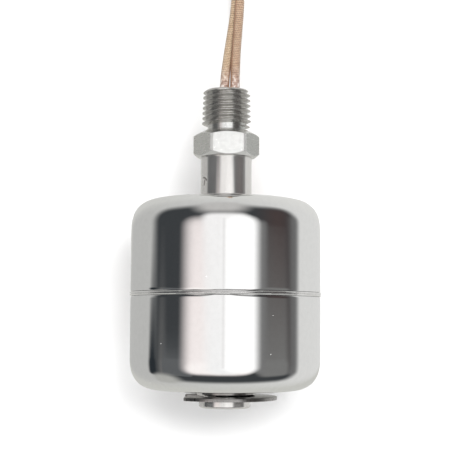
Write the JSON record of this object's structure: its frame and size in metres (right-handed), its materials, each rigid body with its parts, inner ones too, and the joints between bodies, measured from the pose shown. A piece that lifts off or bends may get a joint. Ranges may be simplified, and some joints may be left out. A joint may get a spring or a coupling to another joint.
{
  "type": "float level switch",
  "caption": "Stainless float level switch: hollow cylindrical float sliding on a short stem between a hexagon pipe-thread fitting and a stop clip, with two free leads.",
  "frame": {"origin": "on the stem's axis, at the hexagon's top face, where the thread's neck stands", "axes": "+Z along the stem's axis, up through the pipe thread towards the leads; +Y away from the viewer; the stop clip opens towards -X"},
  "size_m": [0.0516, 0.0646, 0.1343],
  "materials": {
    "fitting_steel": "turned and milled stainless steel",
    "stem_steel": "bright drawn stainless tube",
    "clip_steel": "stamped stainless steel",
    "float_steel": "polished stainless steel with fine scratches",
    "weld_steel": "smooth fusion weld",
    "ferrite": "sintered ferrite, matt black",
    "resin": "pale casting resin",
    "reed_glass": "clear green-tinted glass",
    "reed_metal": "nickel-iron, plated",
    "heat_shrink": "heat-shrink tube",
    "tinned_copper": "tinned copper",
    "lead_braid": "tan varnished braid",
    "tie_nylon": "natural nylon"
  },
  "bodies": {
    "stem": {"hex_fitting": "fitting_steel", "stem_tube": "stem_steel", "stem_end_plug": "stem_steel", "stop_clip": "clip_steel", "potting_compound": "resin", "reed_glass": "reed_glass", "reed_blade_upper": "reed_metal", "reed_blade_lower": "reed_metal", "reed_sleeve": "heat_shrink", "return_wire": "tinned_copper", "return_sleeve": "heat_shrink", "splice_right": "tinned_copper", "splice_left": "tinned_copper", "splice_lower": "tinned_copper", "lead_right_core": "tinned_copper", "lead_left_core": "tinned_copper", "lead_left": "lead_braid", "lead_right": "lead_braid", "lead_left_coil": "lead_braid", "lead_right_coil": "lead_braid", "lead_left_tip": "tinned_copper", "lead_right_tip": "tinned_copper", "lead_tie": "tie_nylon"},
    "magnet": {"float_magnet": "ferrite"},
    "float": {"float_upper_shell": "float_steel", "float_lower_shell": "float_steel", "float_seam_weld": "weld_steel", "float_sleeve": "stem_steel", "magnet_retainer_upper": "clip_steel", "magnet_retainer_lower": "clip_steel"}
  },
  "joints": [
    {"name": "float_slide", "type": "slide", "parent": "stem", "child": "magnet", "axis": [0, 0, 1], "range_m": [0, 0.01]},
    {"name": "float_spin", "type": "hinge", "parent": "magnet", "child": "float", "pos_m": [0, 0, -0.042], "axis": [0, 0, 1], "continuous": true}
  ]
}
